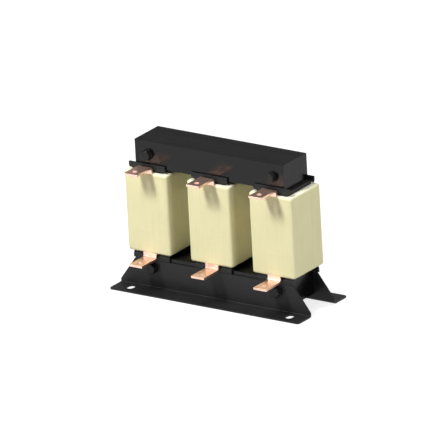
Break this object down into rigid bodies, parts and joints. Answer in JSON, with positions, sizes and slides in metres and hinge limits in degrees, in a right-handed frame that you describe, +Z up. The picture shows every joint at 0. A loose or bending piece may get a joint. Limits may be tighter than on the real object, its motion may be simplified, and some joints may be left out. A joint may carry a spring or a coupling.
{
  "type": "three-phase line choke",
  "caption": "Three-phase line choke: laminated core with wrapped coils on hooked formers, flat copper terminals at both ends of each coil, and folded slotted feet.",
  "frame": {"origin": "middle of the footprint, halfway between the terminals' tips and the rear foot's edge, at the underside of the feet", "axes": "+X along the core, +Y to the rear, +Z up; the terminals point to -Y"},
  "size_m": [0.296, 0.124, 0.203],
  "materials": {
    "core_paint": "black varnish, satin",
    "foot_paint": "black, satin",
    "former_plastic": "moulded black, matt",
    "coil_wrap": "cream insulating sheet, matt",
    "winding_copper": "enamelled copper",
    "bar_copper": "bare copper, drawn",
    "bolt_steel": "black zinc",
    "fibre": "dark insulating fibre",
    "gap_card": "dark brown pressed insulating board"
  },
  "bodies": {
    "root": {"top_yoke": "core_paint", "bottom_yoke": "core_paint", "upper_gap_sheets": "gap_card", "lower_gap_sheets": "gap_card", "left_limb": "core_paint", "left_former": "former_plastic", "left_winding": "winding_copper", "left_coil_wrap": "coil_wrap", "left_top_terminal": "bar_copper", "left_bottom_terminal": "bar_copper", "middle_limb": "core_paint", "middle_former": "former_plastic", "middle_winding": "winding_copper", "middle_coil_wrap": "coil_wrap", "middle_top_terminal": "bar_copper", "middle_bottom_terminal": "bar_copper", "right_limb": "core_paint", "right_former": "former_plastic", "right_winding": "winding_copper", "right_coil_wrap": "coil_wrap", "right_top_terminal": "bar_copper", "right_bottom_terminal": "bar_copper", "front_foot": "foot_paint", "rear_foot": "foot_paint", "upper_bolt_sleeves": "fibre", "upper_washers": "bolt_steel", "upper_clamp_bolts": "bolt_steel", "upper_nuts": "bolt_steel", "lower_bolt_sleeves": "fibre", "lower_washers": "bolt_steel", "lower_clamp_bolts": "bolt_steel", "lower_nuts": "bolt_steel"}
  },
  "joints": []
}
